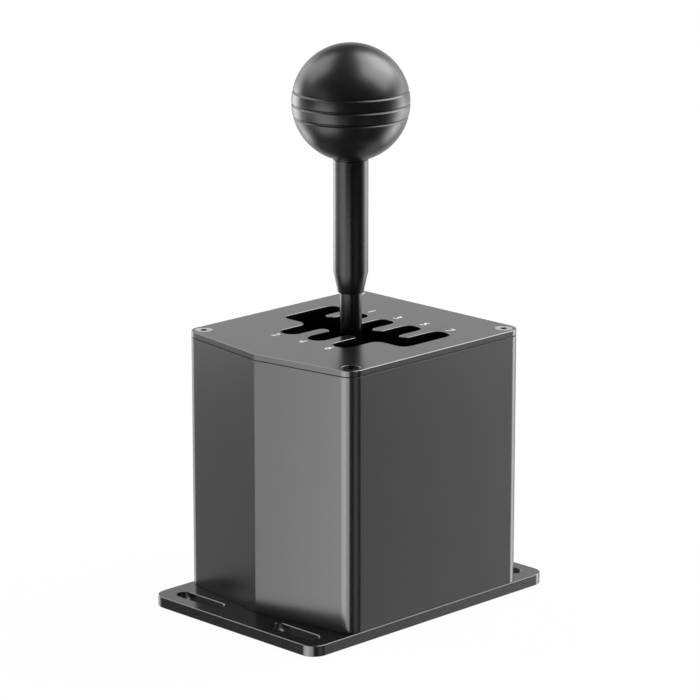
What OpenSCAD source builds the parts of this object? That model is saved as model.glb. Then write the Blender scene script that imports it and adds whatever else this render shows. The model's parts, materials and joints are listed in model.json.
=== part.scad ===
/* [Housing] */
// Width of the housing, the base plate and the gate plate
housing_w = 102; // [96:0.5:120]
// Lever axis to the front side corners
front_reach = 50.5; // [48:0.5:60]
// Lever axis to the rear face
rear_reach = 55.5; // [54:0.5:62]
// How far the front crease stands ahead of the side corners
prow_depth = 7.9; // [4:0.1:12]
// Radius of the upright corners
corner_r = 6.7; // [4:0.1:10]
// Thickness of the housing wall
wall = 3.5; // [2.5:0.1:4.5]
// Height of the housing between the two plates
housing_h = 113.1; // [105:0.1:130]
// Diameter of the corner screw posts
post_d = 11; // [9:0.1:12]

/* [Base plate] */
// Length of the base plate
base_len = 146.4; // [144:0.2:170]
// Thickness of the base plate
base_t = 4.9; // [4.5:0.1:8]
// Corner radius of the base plate
base_corner_r = 7; // [3:0.1:12]
// Width of a mounting slot
slot_w = 7; // [5:0.1:9]
// Overall length of a mounting slot
slot_len = 27.5; // [15:0.5:32]
// Centre of a slot from the middle of the plate, across
slot_x = 29.75; // [26:0.25:32]
// Centre of a slot from the end of the plate
slot_in = 9.7; // [8:0.1:10.5]

/* [Gate] */
// Thickness of the gate plate
plate_t = 3; // [3:0.1:5]
// Distance between two lanes
lane_pitch = 16.2; // [15.5:0.1:17]
// Height of the straight wall that guides the lever
gate_land = 1.5; // [1:0.1:2]
// Room beside the lever in a lane
lane_clear = 0.15; // [0.1:0.05:0.4]
// Room between the lever and the end of a lane
end_clear = 0.3; // [0.2:0.05:0.6]
// Half the width of the cross channel
channel_half = 5.5; // [5.2:0.1:6]
// How far a tongue's tip stands back from the channel
tongue_back = 1.1; // [0.5:0.1:2]
// How far the tongue beside reverse stands back
reverse_back = 4; // [0.5:0.1:6]
// Radius where the channel turns into the outer lanes
gate_corner_r = 4.5; // [2:0.1:4.7]
// Undercut behind the guiding wall
gate_relief = 0.8; // [0.6:0.1:1]

/* [Lever] */
// Diameter of the lever rod
rod_d = 9.6; // [8:0.1:9.8]
// Diameter of the sleeve on the rod
sleeve_d = 15.3; // [14:0.1:18]
// Diameter of the sleeve at its lower end
taper_d = 11.1; // [10.8:0.1:13]
// Length of the sleeve's taper
taper_len = 9.5; // [4:0.5:15]
// Gate plate to the lower end of the sleeve
sleeve_rise = 17; // [14:0.5:30]
// Diameter of the knob
knob_d = 51.3; // [46:0.1:56]
// Gate plate to the middle of the knob
knob_rise = 101.1; // [95:0.1:120]
// Middle of the knob down to its flat seat
knob_seat = 24.4; // [18:0.1:24.4]
// Gap that shows between the knob and the sleeve
knob_gap = 0.4; // [0.1:0.1:1]
// Width of a knob groove
groove_w = 0.8; // [0.4:0.1:1.5]
// Depth of a knob groove
groove_depth = 0.6; // [0.3:0.1:1.2]
// Distance between two knob grooves
groove_pitch = 5.6; // [4:0.05:7]
// Middle groove above the middle of the knob
groove_mid = -0.4; // [-2:0.05:3]
// Diameter of the stud that carries the knob
stud_d = 10; // [8:0.5:10]
// Length of the stud
stud_len = 16; // [10:0.5:20]
// How deep the rod sits in the sleeve
rod_grip = 45; // [25:1:50]

/* [Pivot] */
// Base plate to the pivot of the lever
pivot_rise = 25.6; // [25.2:0.1:28]
// Lean of the lever from neutral into a gear
throw_deg = 12; // [8:0.5:13]
// Width of the lever hub between its bearings
hub_w = 21; // [20:0.5:24]
// Length of the lever hub, front to rear
hub_len = 20; // [18:0.5:22]
// Height of the hub above the pivot
hub_rise = 28; // [22:0.5:34]
// Diameter of the shift axle
axle_d = 8; // [6:0.5:8]
// Diameter of the two select pins
select_pin_d = 10; // [8:0.5:10]
// Wall of a bearing bush
bush_wall = 2; // [1.5:0.1:2.5]
// Thickness of a bush flange
flange_t = 1.2; // [1:0.1:2]
// Side wall of the cradle
cradle_side = 8; // [7:0.5:10]
// End wall of the cradle
cradle_end = 8.7; // [7:0.1:10]
// Height of the cradle
cradle_h = 13; // [13:0.5:14]
// Thickness of a bearing block
block_t = 10; // [9:0.5:12]
// Width of a bearing block
block_w = 28; // [26:0.5:32]
// Height of a bearing block above the pivot
block_rise = 11; // [10:0.5:16]

/* [Detent] */
// Diameter of the detent plunger
plunger_d = 5; // [4:0.1:5.4]
// Pivot to the middle of the plunger's round tip
tip_reach = 18.5; // [18:0.1:18.8]
// Depth of a detent groove
detent_depth = 0.5; // [0.3:0.05:0.6]
// Side of the saddle's raised block
saddle_w = 22; // [20:0.5:24]
// Top of the saddle above the base plate
saddle_h = 7; // [6:0.1:8]
// Thickness of the saddle's flange
saddle_flange = 3; // [2.5:0.1:4]
// Wire of the plunger spring
plunger_wire = 0.6; // [0.4:0.05:0.7]
// Turns of the plunger spring
plunger_turns = 3; // [2:1:3]

/* [Centring springs] */
// Middle of a centring spring from the lever axis
spring_x = 28; // [27.5:0.5:32]
// Outer diameter of a centring spring
spring_d = 12; // [10:0.5:13]
// Wire of a centring spring
spring_wire = 1.4; // [1:0.1:1.6]
// Turns of a centring spring
spring_turns = 6; // [4:1:7]
// Thickness of a cradle wing
wing_t = 4.5; // [3:0.1:6]
// Thickness of a spring seat
seat_t = 1.5; // [1:0.1:2]
// Length of the peg inside a spring
peg_len = 4; // [2:0.1:4.4]

/* [Electronics] */
// Width of the main board
board_w = 56; // [46:0.5:66]
// Height of the main board
board_h = 36; // [32:0.5:40]
// Thickness of both boards
board_t = 1.6; // [1:0.1:2]
// Rear wall to the main board
standoff_len = 5; // [4:0.1:6]
// Middle of the data socket below the pivot
socket_drop = 10.5; // [9.5:0.1:12]
// Thickness of a sensor chip
chip_t = 1.2; // [0.8:0.1:1.6]
// Diameter of a sensor magnet
magnet_d = 6; // [4:0.5:6]
// Thickness of a sensor magnet
magnet_t = 2.5; // [1.5:0.1:3]
// Gap between a magnet and its sensor
sensor_gap = 0.8; // [0.5:0.1:1.5]

/* [Screws] */
// Thread of the corner screws
corner_screw_d = 4; // [3:0.5:4]
// Length of the corner screws
corner_screw_len = 14; // [10:0.5:20]
// Corner screw from the side face
screw_in_x = 5.6; // [5:0.1:7]
// Corner screw from the front side corner
screw_in_front = 5.1; // [5:0.1:7]
// Corner screw from the rear face
screw_in_rear = 6.2; // [5:0.1:7]
// Thread of the bearing block screws
block_screw_d = 5; // [4:0.5:5]
// Length of the bearing block screws
block_screw_len = 17; // [12:0.5:18]
// Thread of the saddle screws
saddle_screw_d = 3; // [2.5:0.5:3]
// Thread of the board screws
board_screw_d = 2.5; // [2:0.1:2.5]
// Length of the main board screws below the head
board_screw_len = 5; // [3:0.5:5]
// Thread of the rod's set screw
set_screw_d = 5; // [4:0.5:6]

/* [Fits] */
// Radial room of a shaft that turns
running_fit = 0.03; // [0.02:0.01:0.06]
// Radial room of a piece that is pressed or screwed in
seat_fit = 0.02; // [0.01:0.01:0.04]
// Radial room of a screw that passes through
screw_room = 0.1; // [0.05:0.05:0.2]
// Room beside a piece that swings
side_play = 0.3; // [0.25:0.05:0.6]

/* [Hidden] */
$fn = 64;
eps = 0.01;

// Heights
plate_z = base_t + housing_h;
top_z = plate_z + plate_t;
pivot_z = base_t + pivot_rise;
land_rise = top_z - gate_land / 2 - pivot_z;
sleeve_z = top_z + sleeve_rise;
knob_z = top_z + knob_rise;
seat_z = knob_z - knob_seat;
sleeve_top = seat_z - knob_gap;
rod_floor = 4;
rod_low = pivot_z + axle_d / 2 + rod_floor;

// Lanes, numbered from -2 at the left to 2 at the right
function lane_x(i) = i * lane_pitch;
function lane_lean(i) = atan(abs(lane_x(i)) / land_rise);
function lane_half(i) = (rod_d / cos(lane_lean(i)) + gate_land * tan(lane_lean(i))) / 2 + lane_clear;
lever_swing = land_rise * tan(throw_deg) + rod_d / 2 / cos(throw_deg) + gate_land / 2 * tan(throw_deg);
function lane_end(i) = lever_swing / cos(lane_lean(i)) + end_clear;

// Housing outline
slope = atan(prow_depth / (housing_w / 2));
inner_x = housing_w / 2 - wall;
inner_front = front_reach + prow_depth * wall / (housing_w / 2) - wall / cos(slope);
inner_prow = front_reach + prow_depth - wall / cos(slope);
inner_rear = rear_reach - wall;
inner_r = max(corner_r - wall, 0.5);
corner_screws = [
    [housing_w / 2 - screw_in_x, rear_reach - screw_in_rear],
    [screw_in_x - housing_w / 2, rear_reach - screw_in_rear],
    [screw_in_x - housing_w / 2, screw_in_front - front_reach],
    [housing_w / 2 - screw_in_x, screw_in_front - front_reach]];

// Hub, cradle and bearings
cradle_in_x = hub_w / 2 + side_play + flange_t;
cradle_x = cradle_in_x + cradle_side;
swing_room = 1.5;
cradle_in_y = hub_len / 2 / cos(throw_deg) + cradle_h / 2 * tan(throw_deg) + swing_room;
cradle_y = cradle_in_y + cradle_end;
cradle_low = pivot_z - cradle_h / 2;
block_y = cradle_y + side_play + flange_t;
axle_short = 0.5;
axle_half = cradle_x - axle_short;
pin_proud = 0.6;
bush_short = 0.2;
block_screw_in = 5;
shift_bush_d = axle_d + 2 * bush_wall;
select_bush_d = select_pin_d + 2 * bush_wall;
flange_more = 3;
hub_over = 1.5;
hub_low = cradle_low - hub_over;
hub_base_h = cradle_h + 2 * hub_over;
set_screw_z = pivot_z + 0.7 * hub_rise;
set_screw_tip = 0.1;
set_screw_short = 0.3;
set_key_floor = 2.5;

// Detent
foot_wall = 3;
foot_d = plunger_d + 2 * foot_wall;
foot_lift = 3;
foot_low = pivot_z - tip_reach + foot_lift;
bore_roof = 1.5;
plunger_bore_top = pivot_z - axle_d / 2 - bore_roof;
plunger_guide = 5.5;
plunger_top = foot_low + plunger_guide;
plunger_spring_room = 0.2;
tip_clear = 0.25;
saddle_ear = 9;
saddle_flange_x = saddle_w / 2 + saddle_ear;
saddle_flange_y = 8;
saddle_screw_x = saddle_w / 2 + saddle_ear / 2;
saddle_screw_short = 0.3;

// Centring springs
spring_end_gap = 0.1;
peg_room = 0.6;
peg_d = spring_d - 2 * spring_wire - 2 * peg_room;
wing_w = spring_d;
wing_y = wing_w / 2 - cradle_y;
seat_spigot_d = 5;
seat_spigot_len = 3;
spigot_room = 0.3;
seat_rim = 1.5;

// Electronics
main_board_y = inner_rear - standoff_len - board_t;
select_pin_end = main_board_y - chip_t - sensor_gap - magnet_t;
shift_board_x = axle_half + magnet_t + sensor_gap + chip_t;
chip_w = 5;
standoff_d = 5;
standoff_in = 4;
standoff_x = board_w / 2 - standoff_in;
standoff_z = board_h / 2 - standoff_in;
boss_d = 4.4;
boss_gap = 0.4;
boss_y = shift_bush_d / 2 + boss_gap;
boss_floor = 0.5;
shift_board_y = boss_y + boss_d / 2;
shift_screw_d = 2;
shift_screw_len = 4;
socket_w = 9;
socket_h = 3.3;
socket_shell = 0.35;
socket_recess = 0.4;
socket_back = 1;
socket_tongue_in = 0.6;
port_room = 0.25;

// Screw sockets, tapped holes and the knob's insert
corner_key = 2.5;
block_key = 3;
saddle_key = 2;
tapped_past = 2;
insert_wall = 2;
insert_room = 1;
insert_roof = 3;
insert_d = stud_d + 2 * insert_wall;
insert_h = stud_len + insert_room + insert_roof;

// A corner of an outline, rounded to radius r by an arc of n steps
function unit(v) = v / norm(v);
function turn(d) = d > 180 ? d - 360 : d < -180 ? d + 360 : d;
function corner(a, b, c, r, n) = r <= 0 ? [b] :
    let (u = unit(a - b), v = unit(c - b), half = acos(u * v) / 2)
    let (m = b + unit(u + v) * r / sin(half))
    let (s = b + u * r / tan(half) - m, e = b + v * r / tan(half) - m)
    let (from = atan2(s[1], s[0]), sweep = turn(atan2(e[1], e[0]) - from))
    [for (i = [0 : n]) m + r * [cos(from + sweep * i / n), sin(from + sweep * i / n)]];
function flat2(p) = [p[0], p[1]];
// An outline from corners given as x, y and radius
function rounded(p, n = 8) = let (k = len(p)) [for (i = [0 : k - 1])
    each corner(flat2(p[(i + k - 1) % k]), flat2(p[i]), flat2(p[(i + 1) % k]), p[i][2], n)];
function box_outline(w, h, r) = rounded([[w / 2, h / 2, r], [-w / 2, h / 2, r],
    [-w / 2, -h / 2, r], [w / 2, -h / 2, r]]);

module housing_outline() {
    polygon(rounded([[housing_w / 2, rear_reach, corner_r], [-housing_w / 2, rear_reach, corner_r],
        [-housing_w / 2, -front_reach, corner_r], [0, -front_reach - prow_depth, 0],
        [housing_w / 2, -front_reach, corner_r]]));
}

module housing_inside() {
    polygon(rounded([[inner_x, inner_rear, inner_r], [-inner_x, inner_rear, inner_r],
        [-inner_x, -inner_front, inner_r], [0, -inner_prow, 0], [inner_x, -inner_front, inner_r]]));
}

// Round end of a lane and, where one follows, the tip of the tongue beside it
function lane_pair(i, e, back, tongue, side) =
    let (next = i - side, h = lane_half(i) + e, end = side * (lane_end(i) + e))
    let (edge = lane_x(i) - side * h, other = lane_x(next) + side * (lane_half(next) + e))
    let (tip = side * (channel_half + back + e), tip_r = 0.49 * abs(edge - other))
    concat([[lane_x(i) + side * h, end, 0.98 * h], [edge, end, 0.98 * h]],
        tongue ? [[edge, tip, tip_r], [other, tip, tip_r]] : []);

// The gate opening, widened by e all round
module gate_outline(e = 0) {
    far_lanes = [for (i = [2 : -1 : -2])
        each lane_pair(i, e, i == -1 ? reverse_back : tongue_back, i > -2, 1)];
    near_lanes = [for (i = [-1 : 1]) each lane_pair(i, e, tongue_back, i < 1, -1)];
    outer = lane_x(2) + lane_half(2) + e;
    inner = lane_x(1) + lane_half(1) + e;
    near = -channel_half - e;
    polygon(rounded(concat(far_lanes,
        [[-outer, near, gate_corner_r], [-inner, near, gate_corner_r]], near_lanes,
        [[inner, near, gate_corner_r], [outer, near, gate_corner_r]])));
}

// Countersunk screw with its head's top at the origin, pointing down
module sunk_screw(d, length, key) {
    head = d;
    difference() {
        union() {
            translate([0, 0, -head / 2]) cylinder(h = head / 2, d1 = d, d2 = 2 * d);
            translate([0, 0, -length]) cylinder(h = length - head / 2, d = d);
        }
        translate([0, 0, -head / 2]) cylinder(h = head, d = key / cos(30), $fn = 6);
    }
}

// Room for a countersunk screw through a plate of thickness t
module sunk_hole(d, t) {
    translate([0, 0, -t - eps]) cylinder(h = t + 2 * eps, d = d + 2 * screw_room);
    translate([0, 0, -d / 2 - screw_room])
        cylinder(h = d / 2 + screw_room + eps, d1 = d + 2 * screw_room, d2 = 2 * d + 4 * screw_room);
}

// Button head screw with its seat at the origin, pointing down
module button_screw(d, length) {
    difference() {
        union() {
            cylinder(h = 0.6 * d, d = 1.9 * d);
            translate([0, 0, -length]) cylinder(h = length, d = d);
        }
        translate([0, 0, 0.25 * d]) cylinder(h = d, d = 0.6 * d / cos(30), $fn = 6);
    }
}

// Middle of ring i of a wire wound along z from 0 to length, with 8 rings a turn
coil_rings = 8;
function coil_mid(i, d, wire, length, turns) = let (t = i * 360 / coil_rings, r = (d - wire) / 2)
    [r * cos(t), r * sin(t), wire / 2 + (length - wire) * i / (turns * coil_rings)];

// Least gap between the turns of a coil
function coil_gap(d, wire, length, turns) =
    let (mids = [for (i = [0 : turns * coil_rings]) coil_mid(i, d, wire, length, turns)])
    min([for (i = [0 : len(mids) - 1]) for (j = [i + coil_rings - 2 : 1 : len(mids) - 1])
        norm(mids[i] - mids[j])]) - wire;

// Round wire wound along z from 0 to length, as rings of six points
module coil(d, wire, length, turns) {
    rings = turns * coil_rings;
    lean = atan((length - wire) / turns / (PI * (d - wire)));
    function ring(i) = let (t = i * 360 / coil_rings, mid = coil_mid(i, d, wire, length, turns))
        let (out = [cos(t), sin(t), 0], up = [sin(t) * sin(lean), -cos(t) * sin(lean), cos(lean)])
        [for (k = [0 : 5]) mid + wire / 2 * (cos(60 * k) * out + sin(60 * k) * up)];
    points = [for (i = [0 : rings]) each ring(i)];
    sides = [for (i = [0 : rings - 1]) for (k = [0 : 5]) let (a = 6 * i + k, b = 6 * i + (k + 1) % 6)
        each [[a, a + 6, b], [b, a + 6, b + 6]]];
    last = 6 * rings;
    caps = [for (k = [1 : 4]) each [[0, k, k + 1], [last, last + k + 1, last + k]]];
    echo(least_gap = coil_gap(d, wire, length, turns));
    polyhedron(points, concat(sides, caps), convexity = 10);
}

module at_corners() {
    for (p = corner_screws) translate([p[0], p[1], 0]) children();
}

module at_block_screws() {
    for (x = [-1, 1], y = [-1, 1])
        translate([x * (block_w / 2 - block_screw_in), y * (block_y + block_t / 2), 0]) children();
}

module at_saddle_screws() {
    for (x = [-1, 1]) translate([x * saddle_screw_x, 0, 0]) children();
}

module at_standoffs() {
    for (x = [-1, 1], z = [-1, 1])
        translate([x * standoff_x, inner_rear, pivot_z + z * standoff_z]) rotate([90, 0, 0]) children();
}

module at_bosses() {
    for (y = [-1, 1]) translate([0, y * boss_y, pivot_z]) rotate([0, 90, 0]) children();
}

// A bar along x or y through the pivot, from a to b
module bar_x(a, b, d) {
    translate([a, 0, pivot_z]) rotate([0, 90, 0]) cylinder(h = b - a, d = d);
}

module bar_y(a, b, d) {
    translate([0, a, pivot_z]) rotate([-90, 0, 0]) cylinder(h = b - a, d = d);
}

module base_plate() color("#2a2b2d") difference() {
    linear_extrude(base_t) polygon(box_outline(housing_w, base_len, base_corner_r));
    for (x = [-1, 1], y = [-1, 1]) translate([x * slot_x, y * (base_len / 2 - slot_in), -eps]) {
        for (e = [-1, 1]) translate([e * (slot_len - slot_w) / 2, 0, 0])
            cylinder(h = base_t + 2 * eps, d = slot_w);
        translate([-(slot_len - slot_w) / 2, -slot_w / 2, 0])
            cube([slot_len - slot_w, slot_w, base_t + 2 * eps]);
    }
    at_corners() mirror([0, 0, 1]) sunk_hole(corner_screw_d, base_t);
    at_block_screws() mirror([0, 0, 1]) sunk_hole(block_screw_d, base_t);
    at_saddle_screws() mirror([0, 0, 1]) sunk_hole(saddle_screw_d, base_t);
    for (x = [-1, 1]) translate([x * spring_x, wing_y, base_t - seat_spigot_len - spigot_room])
        cylinder(h = seat_spigot_len + spigot_room + eps, d = seat_spigot_d + 2 * seat_fit);
}

module housing() color("#303134") difference() {
    union() {
        translate([0, 0, base_t]) linear_extrude(housing_h) difference() {
            housing_outline();
            housing_inside();
        }
        intersection() {
            translate([0, 0, base_t]) linear_extrude(housing_h) housing_outline();
            at_corners() translate([0, 0, base_t]) cylinder(h = housing_h, d = post_d);
        }
    }
    at_corners() {
        translate([0, 0, top_z - corner_screw_len - tapped_past])
            cylinder(h = corner_screw_len + tapped_past, d = corner_screw_d + 2 * seat_fit);
        translate([0, 0, base_t - eps])
            cylinder(h = corner_screw_len + tapped_past - base_t, d = corner_screw_d + 2 * seat_fit);
    }
    translate([0, rear_reach + eps, pivot_z - socket_drop]) rotate([90, 0, 0])
        linear_extrude(wall + 2 * eps)
        polygon(box_outline(socket_w + 2 * port_room, socket_h + 2 * port_room, socket_h / 2));
}

module gate_plate() color("#3a3b3e") difference() {
    translate([0, 0, plate_z]) linear_extrude(plate_t) housing_outline();
    translate([0, 0, top_z - gate_land - eps]) linear_extrude(gate_land + 2 * eps) gate_outline();
    translate([0, 0, plate_z - eps]) linear_extrude(plate_t - gate_land + eps) gate_outline(gate_relief);
    at_corners() translate([0, 0, top_z]) sunk_hole(corner_screw_d, plate_t);
}

module gate_screws() color("#1d1e20")
    at_corners() translate([0, 0, top_z]) sunk_screw(corner_screw_d, corner_screw_len, corner_key);

module housing_screws() color("#1d1e20")
    at_corners() mirror([0, 0, 1]) sunk_screw(corner_screw_d, corner_screw_len, corner_key);

// Bearing block on the front or rear side
module bearing_block(side) color("#8d9094") difference() {
    translate([-block_w / 2, side > 0 ? block_y : -block_y - block_t, base_t])
        cube([block_w, block_t, pivot_rise + block_rise]);
    bar_y(-block_y - block_t - 1, block_y + block_t + 1, select_bush_d + 2 * seat_fit);
    at_block_screws() translate([0, 0, base_t - eps])
        cylinder(h = block_screw_len - base_t + tapped_past, d = block_screw_d + 2 * seat_fit);
}

module front_bearing_block() bearing_block(-1);

module rear_bearing_block() bearing_block(1);

module block_screws() color("#1d1e20")
    at_block_screws() mirror([0, 0, 1]) sunk_screw(block_screw_d, block_screw_len, block_key);

// Flanged bush on the y axis, on the front or rear side
module select_bush(side) color("#b08d57") mirror([0, side > 0 ? 0 : 1, 0]) difference() {
    union() {
        bar_y(block_y, block_y + block_t, select_bush_d);
        bar_y(block_y - flange_t, block_y, select_bush_d + flange_more);
    }
    bar_y(block_y - flange_t - 1, block_y + block_t + 1, select_pin_d + 2 * running_fit);
}

module front_select_bush() select_bush(-1);

module rear_select_bush() select_bush(1);

module detent_saddle() color("#a9abae") difference() {
    translate([0, 0, base_t]) {
        translate([-saddle_w / 2, -saddle_w / 2, 0]) cube([saddle_w, saddle_w, saddle_h]);
        translate([-saddle_flange_x, -saddle_flange_y, 0])
            cube([2 * saddle_flange_x, 2 * saddle_flange_y, saddle_flange]);
    }
    translate([0, 0, pivot_z]) {
        sphere(r = tip_reach + plunger_d / 2 + tip_clear);
        for (lean = [-throw_deg, 0, throw_deg]) rotate([-90, 0, 0]) rotate_extrude()
            translate((tip_reach + detent_depth) * [cos(lean), sin(lean)])
            circle(d = plunger_d + 2 * tip_clear);
    }
    at_saddle_screws() translate([0, 0, base_t - eps])
        cylinder(h = saddle_flange + 2 * eps, d = saddle_screw_d + 2 * seat_fit);
}

module saddle_screws() color("#1d1e20")
    at_saddle_screws() mirror([0, 0, 1])
    sunk_screw(saddle_screw_d, base_t + saddle_flange - saddle_screw_short, saddle_key);

// Turned post that holds a centring spring on the base plate
module spring_seat(side) color("#a9abae") translate([side * spring_x, wing_y, base_t]) {
    translate([0, 0, -seat_spigot_len]) cylinder(h = seat_spigot_len, d = seat_spigot_d);
    cylinder(h = seat_t, d = spring_d + 2 * seat_rim);
    cylinder(h = seat_t + peg_len, d = peg_d);
}

module left_spring_seat() spring_seat(-1);

module right_spring_seat() spring_seat(1);

module centring_spring(side) color("#c4c7ca")
    translate([side * spring_x, wing_y, base_t + seat_t + spring_end_gap])
    coil(spring_d, spring_wire, cradle_low - base_t - seat_t - 2 * spring_end_gap, spring_turns);

module left_centring_spring() centring_spring(-1);

module right_centring_spring() centring_spring(1);

module main_board() color("#1f5c3a") difference() {
    translate([-board_w / 2, main_board_y, pivot_z - board_h / 2]) cube([board_w, board_t, board_h]);
    at_standoffs() cylinder(h = standoff_len + board_t + 1, d = board_screw_d + 2 * screw_room);
}

module board_standoffs() color("#c4c7ca") at_standoffs() difference() {
    cylinder(h = standoff_len, d = standoff_d);
    translate([0, 0, -eps]) cylinder(h = standoff_len + 2 * eps, d = board_screw_d + 2 * seat_fit);
}

module board_screws() color("#1d1e20")
    at_standoffs() translate([0, 0, standoff_len + board_t]) button_screw(board_screw_d, board_screw_len);

module select_sensor() color("#17181a")
    translate([-chip_w / 2, main_board_y - chip_t, pivot_z - chip_w / 2]) cube([chip_w, chip_t, chip_w]);

module data_socket() color("#b9bcc0") {
    back = main_board_y + board_t;
    depth = rear_reach - socket_recess - back;
    translate([0, back + depth, pivot_z - socket_drop]) rotate([90, 0, 0]) {
        difference() {
            linear_extrude(depth) polygon(box_outline(socket_w, socket_h, 0.49 * socket_h));
            translate([0, 0, -eps]) linear_extrude(depth - socket_back)
                polygon(box_outline(socket_w - 2 * socket_shell, socket_h - 2 * socket_shell,
                    0.49 * (socket_h - 2 * socket_shell)));
        }
        translate([-0.37 * socket_w, -0.1 * socket_h, socket_tongue_in])
            cube([0.74 * socket_w, 0.2 * socket_h, depth - socket_back]);
    }
}

module select_cradle() color("#8d9094") {
    difference() {
        union() {
            translate([-cradle_x, -cradle_y, cradle_low]) cube([2 * cradle_x, 2 * cradle_y, cradle_h]);
            for (s = [-1, 1]) translate([s * spring_x, wing_y, cradle_low]) {
                translate([-wing_w / 2 - (s > 0 ? spring_x - cradle_x : 0), -wing_w / 2, 0])
                    cube([wing_w + spring_x - cradle_x, wing_w, wing_t]);
                translate([0, 0, -peg_len]) cylinder(h = peg_len + eps, d = peg_d);
            }
        }
        translate([-cradle_in_x, -cradle_in_y, cradle_low - 1])
            cube([2 * cradle_in_x, 2 * cradle_in_y, cradle_h + 2]);
        bar_x(-cradle_x - 1, cradle_x + 1, shift_bush_d + 2 * seat_fit);
        bar_y(-cradle_y - 1, cradle_y + 1, select_pin_d + 2 * seat_fit);
    }
    translate([cradle_x - eps, 0, 0]) difference() {
        at_bosses() cylinder(h = shift_board_x - cradle_x + eps, d = boss_d);
        at_bosses() translate([0, 0, boss_floor])
            cylinder(h = shift_board_x, d = shift_screw_d + 2 * seat_fit);
    }
}

module front_select_pin() color("#b9bcc0") bar_y(-block_y - block_t - pin_proud, -cradle_in_y, select_pin_d);

module rear_select_pin() color("#b9bcc0") bar_y(cradle_in_y, select_pin_end, select_pin_d);

// Flanged bush on the x axis, on the left or right side
module shift_bush(side) color("#b08d57") mirror([side > 0 ? 0 : 1, 0, 0]) difference() {
    union() {
        bar_x(cradle_in_x, cradle_x - bush_short, shift_bush_d);
        bar_x(cradle_in_x - flange_t, cradle_in_x, shift_bush_d + flange_more);
    }
    bar_x(cradle_in_x - flange_t - 1, cradle_x + 1, axle_d + 2 * running_fit);
}

module left_shift_bush() shift_bush(-1);

module right_shift_bush() shift_bush(1);

module select_magnet() color("#d5d7d9") bar_y(select_pin_end, select_pin_end + magnet_t, magnet_d);

module shift_board() color("#1f5c3a") difference() {
    translate([shift_board_x, -shift_board_y, cradle_low])
        cube([board_t, 2 * shift_board_y, cradle_h]);
    translate([shift_board_x - 1, 0, 0]) at_bosses()
        cylinder(h = board_t + 2, d = shift_screw_d + 2 * screw_room);
}

module shift_sensor() color("#17181a")
    translate([shift_board_x - chip_t, -chip_w / 2, pivot_z - chip_w / 2]) cube([chip_t, chip_w, chip_w]);

module shift_board_screws() color("#1d1e20")
    translate([shift_board_x + board_t, 0, 0]) at_bosses() button_screw(shift_screw_d, shift_screw_len);

module lever_hub() color("#9a9da1") difference() {
    union() {
        translate([-hub_w / 2, -hub_len / 2, hub_low]) cube([hub_w, hub_len, hub_base_h]);
        translate([0, 0, hub_low]) cylinder(h = pivot_z + hub_rise - hub_low, d = hub_len);
        translate([0, 0, foot_low]) cylinder(h = hub_low - foot_low + 1, d = foot_d);
    }
    bar_x(-hub_w, hub_w, axle_d + 2 * seat_fit);
    translate([0, 0, rod_low]) cylinder(h = top_z, d = rod_d + 2 * seat_fit);
    translate([0, 0, foot_low - 1])
        cylinder(h = plunger_bore_top - foot_low + 1, d = plunger_d + 2 * running_fit);
    translate([0, 0, set_screw_z]) rotate([90, 0, 0])
        cylinder(h = hub_len, d = set_screw_d + 2 * seat_fit);
}

module shift_axle() color("#b9bcc0") bar_x(-axle_half, axle_half, axle_d);

module shift_magnet() color("#d5d7d9") bar_x(axle_half, axle_half + magnet_t, magnet_d);

module lever_rod() color("#26272a")
    translate([0, 0, rod_low]) cylinder(h = sleeve_z + rod_grip - rod_low, d = rod_d);

module rod_set_screw() color("#1d1e20")
    translate([0, -rod_d / 2 - set_screw_tip, set_screw_z]) rotate([90, 0, 0]) difference() {
        cylinder(h = hub_len / 2 - rod_d / 2 - set_screw_short, d = set_screw_d);
        translate([0, 0, set_key_floor]) cylinder(h = hub_len, d = set_screw_d / 2 / cos(30), $fn = 6);
    }

module lever_sleeve() color("#1f2023") difference() {
    union() {
        translate([0, 0, sleeve_z]) cylinder(h = taper_len, d1 = taper_d, d2 = sleeve_d);
        translate([0, 0, sleeve_z + taper_len])
            cylinder(h = sleeve_top - sleeve_z - taper_len, d = sleeve_d);
        translate([0, 0, sleeve_top - eps]) cylinder(h = stud_len + eps, d = stud_d);
    }
    translate([0, 0, sleeve_z - eps]) cylinder(h = rod_grip + eps, d = rod_d + 2 * seat_fit);
}

module knob_insert() color("#b08d57") translate([0, 0, sleeve_top]) difference() {
    cylinder(h = insert_h, d = insert_d);
    translate([0, 0, -eps]) cylinder(h = stud_len + insert_room, d = stud_d + 2 * seat_fit);
}

module knob() color("#242527") difference() {
    translate([0, 0, knob_z]) sphere(d = knob_d);
    translate([0, 0, seat_z - knob_d]) cylinder(h = knob_d, d = knob_d);
    translate([0, 0, sleeve_top]) cylinder(h = insert_h + seat_fit, d = insert_d + 2 * seat_fit);
    for (k = [-1 : 1]) let (rise = groove_mid + k * groove_pitch)
        translate([0, 0, knob_z + rise - groove_w / 2]) difference() {
            cylinder(h = groove_w, d = knob_d + 2);
            translate([0, 0, -1])
                cylinder(h = groove_w + 2, r = sqrt(pow(knob_d / 2, 2) - rise * rise) - groove_depth);
        }
}

module plunger_spring() color("#c4c7ca") translate([0, 0, plunger_top + spring_end_gap])
    coil(plunger_d - 2 * plunger_spring_room, plunger_wire,
    plunger_bore_top - plunger_top - 2 * spring_end_gap, plunger_turns);

module detent_plunger() color("#b9bcc0") {
    translate([0, 0, pivot_z - tip_reach]) sphere(d = plunger_d);
    translate([0, 0, pivot_z - tip_reach])
        cylinder(h = plunger_top - pivot_z + tip_reach, d = plunger_d);
}

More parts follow.
